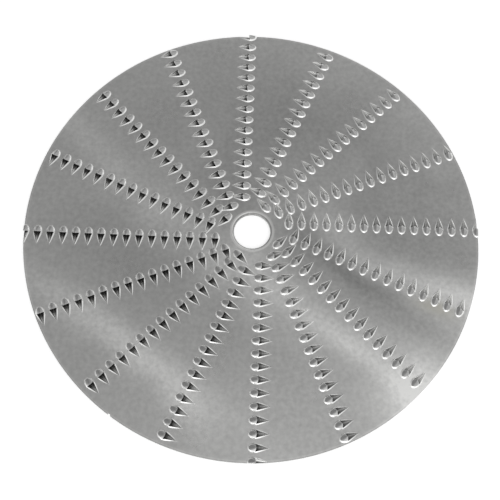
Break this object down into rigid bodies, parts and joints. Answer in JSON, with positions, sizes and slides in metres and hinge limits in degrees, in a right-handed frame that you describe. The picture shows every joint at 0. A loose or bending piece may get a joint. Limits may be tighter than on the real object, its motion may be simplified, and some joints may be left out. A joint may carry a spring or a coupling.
{
  "type": "juicer blade",
  "caption": "Flat round grating disc with straight rows of punched teeth that pass beside a plain central bore.",
  "frame": {"origin": "centre of the bore, on the plain underside", "axes": "+Z along the bore axis towards the toothed face, +X along the first row of teeth, +Y to its left"},
  "size_m": [0.18, 0.18, 0.003],
  "materials": {
    "stainless_steel": "rolled mill finish, satin, with bright burnished tooth edges"
  },
  "bodies": {
    "root": {"blade_disc": "stainless_steel"}
  },
  "joints": []
}
